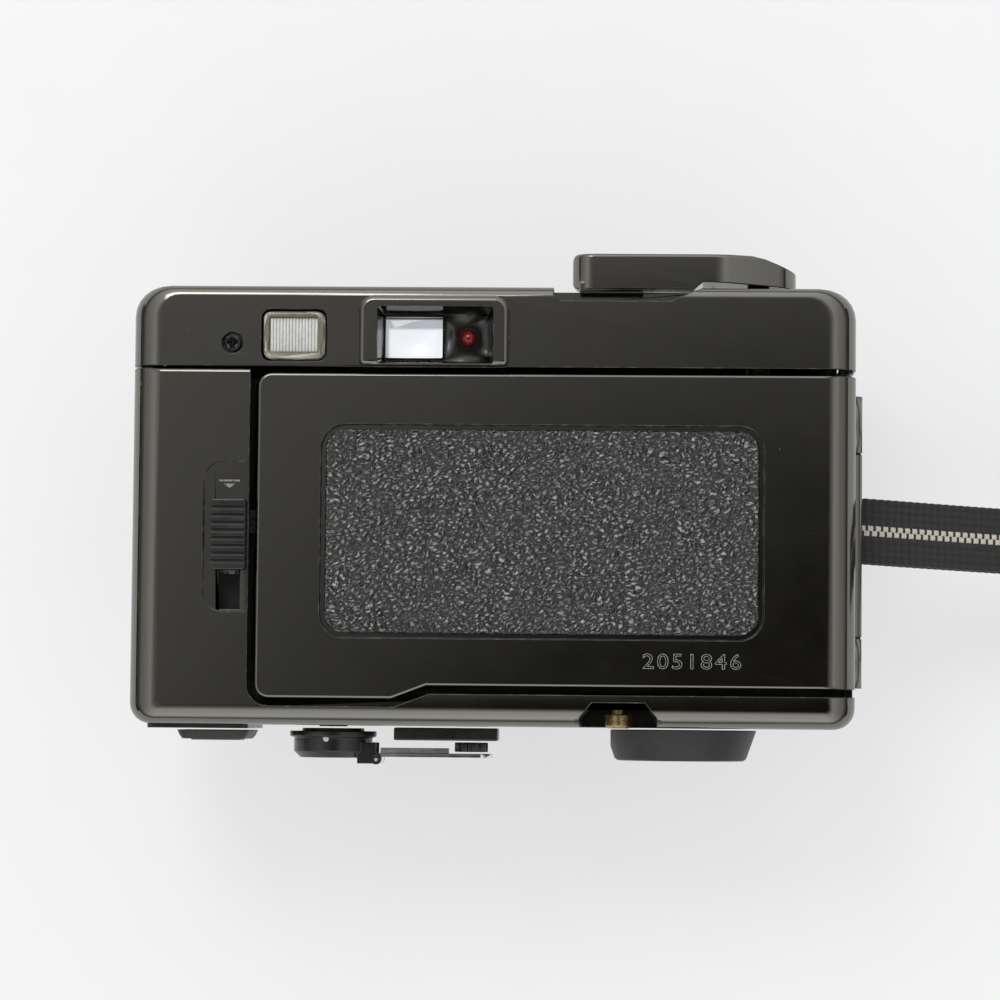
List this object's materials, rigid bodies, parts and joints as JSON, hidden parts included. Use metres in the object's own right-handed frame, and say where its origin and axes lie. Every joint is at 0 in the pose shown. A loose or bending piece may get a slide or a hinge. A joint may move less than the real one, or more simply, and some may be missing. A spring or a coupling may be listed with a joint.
{
  "type": "compact rangefinder camera",
  "caption": "Black 35 mm compact rangefinder camera with pop-up flash, hinged back, wind lever, rewind crank and wrist strap, lying on its lens rim.",
  "frame": {"origin": "middle of the camera's box without its strap, on the surface that the lens rim stands on", "axes": "+X to the camera's right as its user holds it, +Y towards the top cover, +Z out of the back"},
  "size_m": [0.2487, 0.0862, 0.0576],
  "materials": {
    "black_paint": "gloss black with an olive tone",
    "black_plastic": "satin black",
    "leather": "black grained leatherette",
    "matt_black": "matt black",
    "steel": "brushed",
    "chrome": "polished",
    "brass": "dull brass",
    "glass": "coated optical glass",
    "clear_plastic": "clear ribbed plastic",
    "red_plastic": "transparent red",
    "battery_jacket": "printed jacket, no marks",
    "webbing": "ribbed woven webbing with a pale centre stripe"
  },
  "bodies": {
    "casing": {"body_shell": "black_paint", "top_cover": "black_paint", "chassis": "matt_black", "hinge_leaf": "black_paint", "hinge_pin": "steel", "eyepiece_liner": "black_plastic", "eyepiece_glass": "glass", "warning_lamp": "red_plastic", "finder_block": "matt_black", "finder_window": "glass", "rangefinder_window": "glass", "ready_lamp_lens": "clear_plastic", "cover_screw": "steel", "counter_window": "glass", "flash_capacitor": "battery_jacket", "battery_front": "battery_jacket", "battery_rear": "battery_jacket", "battery_contact": "brass", "tripod_boss": "black_plastic", "tripod_bush": "brass", "crank_rest": "black_plastic", "lens_mount": "black_plastic", "front_bezel": "black_plastic", "meter_cell": "glass", "rear_element": "glass", "shutter_housing": "black_plastic", "front_leather_left": "leather", "front_leather_right": "leather", "strap_bar": "steel", "wrist_strap": "webbing", "strap_keeper": "black_plastic"},
    "door": {"back_door": "black_paint", "door_leather": "leather", "pressure_spring": "steel"},
    "plate": {"pressure_plate": "matt_black"},
    "latch": {"latch_slider": "black_plastic", "latch_hook": "steel"},
    "lever": {"wind_lever": "black_plastic", "lever_cap": "black_plastic", "wind_shaft": "steel"},
    "spool": {"take_up_spool": "black_plastic"},
    "sprocket": {"sprocket": "steel"},
    "counter": {"frame_counter_disc": "matt_black"},
    "button": {"shutter_button": "chrome"},
    "flash": {"flash_head": "black_paint", "flash_window": "clear_plastic", "flash_tube": "glass"},
    "battery_door": {"battery_door": "black_plastic", "base_foot": "black_plastic"},
    "rewind": {"rewind_drum": "black_plastic", "crank_pin": "steel", "rewind_fork": "steel"},
    "crank": {"crank_arm": "chrome"},
    "knob": {"crank_knob": "black_plastic"},
    "release": {"rewind_release_button": "brass"},
    "focus": {"focus_ring": "black_plastic"},
    "cell": {"lens_cell": "black_plastic", "front_element": "glass"},
    "shutter_blade_1": {"shutter_blade_1": "steel"},
    "shutter_blade_2": {"shutter_blade_2": "steel"}
  },
  "joints": [
    {"name": "door_hinge", "type": "hinge", "parent": "casing", "child": "door", "pos_m": [0.0598, -0.00505, 0.0465], "axis": [0, 1, 0], "range_deg": [0, 110]},
    {"name": "plate_float", "type": "slide", "parent": "door", "child": "plate", "axis": [0, 0, 1], "range_m": [0, 0.0005], "stiffness_N_per_m": 400},
    {"name": "latch_slide", "type": "slide", "parent": "casing", "child": "latch", "axis": [0, -1, 0], "range_m": [0, 0.006], "stiffness_N_per_m": 150},
    {"name": "wind_turn", "type": "hinge", "parent": "casing", "child": "lever", "pos_m": [0.0438, 0.0368, 0.041], "axis": [0, 1, 0], "range_deg": [0, 130], "stiffness_Nm_per_rad": 0.02},
    {"name": "spool_turn", "type": "hinge", "parent": "casing", "child": "spool", "pos_m": [0.0438, -0.0043, 0.041], "axis": [0, 1, 0], "range_deg": [0, 260]},
    {"name": "sprocket_turn", "type": "hinge", "parent": "casing", "child": "sprocket", "pos_m": [0.0316, -0.0043, 0.0454], "axis": [0, 1, 0], "range_deg": [0, 480.5]},
    {"name": "counter_turn", "type": "hinge", "parent": "casing", "child": "counter", "pos_m": [0.0333, 0.0368, 0.0335], "axis": [0, 1, 0], "range_deg": [0, 10]},
    {"name": "button_press", "type": "slide", "parent": "casing", "child": "button", "axis": [0, -1, 0], "range_m": [0, 0.0012], "stiffness_N_per_m": 300},
    {"name": "flash_popup", "type": "slide", "parent": "casing", "child": "flash", "axis": [0, 1, 0], "range_m": [0, 0.013]},
    {"name": "battery_door_hinge", "type": "hinge", "parent": "casing", "child": "battery_door", "pos_m": [-0.0585, -0.0371, 0.0375], "axis": [0, 0, -1], "range_deg": [0, 100]},
    {"name": "rewind_turn", "type": "hinge", "parent": "casing", "child": "rewind", "pos_m": [-0.0281, -0.0365, 0.0375], "axis": [0, 1, 0], "continuous": true},
    {"name": "crank_fold", "type": "hinge", "parent": "rewind", "child": "crank", "pos_m": [-0.0205, -0.04215, 0.0375], "axis": [0, 0, -1], "range_deg": [0, 178]},
    {"name": "knob_spin", "type": "hinge", "parent": "crank", "child": "knob", "pos_m": [-0.0045, -0.04115, 0.0375], "axis": [0, 1, 0], "continuous": true},
    {"name": "release_press", "type": "slide", "parent": "casing", "child": "release", "axis": [0, 1, 0], "range_m": [0, 0.001], "stiffness_N_per_m": 300},
    {"name": "focus_turn", "type": "hinge", "parent": "casing", "child": "focus", "pos_m": [0.0076, -0.0043, 0.013], "axis": [0, 0, 1], "range_deg": [0, 90]},
    {"name": "cell_slide", "type": "slide", "parent": "casing", "child": "cell", "axis": [0, 0, -1], "range_m": [0, 0.0013]},
    {"name": "blade_1_swing", "type": "hinge", "parent": "casing", "child": "shutter_blade_1", "pos_m": [-0.0089, -0.0033, 0.0135], "axis": [0, 0, -1], "range_deg": [0, 38], "stiffness_Nm_per_rad": 0.0004},
    {"name": "blade_2_swing", "type": "hinge", "parent": "casing", "child": "shutter_blade_2", "pos_m": [0.0241, -0.0033, 0.0135], "axis": [0, 0, -1], "range_deg": [-38, 38]}
  ],
  "couplings": [
    {"joint": "spool_turn", "follows": "wind_turn", "ratio": 2},
    {"joint": "sprocket_turn", "follows": "wind_turn", "ratio": 3.6923},
    {"joint": "counter_turn", "follows": "wind_turn", "ratio": 0.07},
    {"joint": "cell_slide", "follows": "focus_turn", "m_per_rad": 0.00076},
    {"joint": "blade_2_swing", "follows": "blade_1_swing", "ratio": -1}
  ]
}
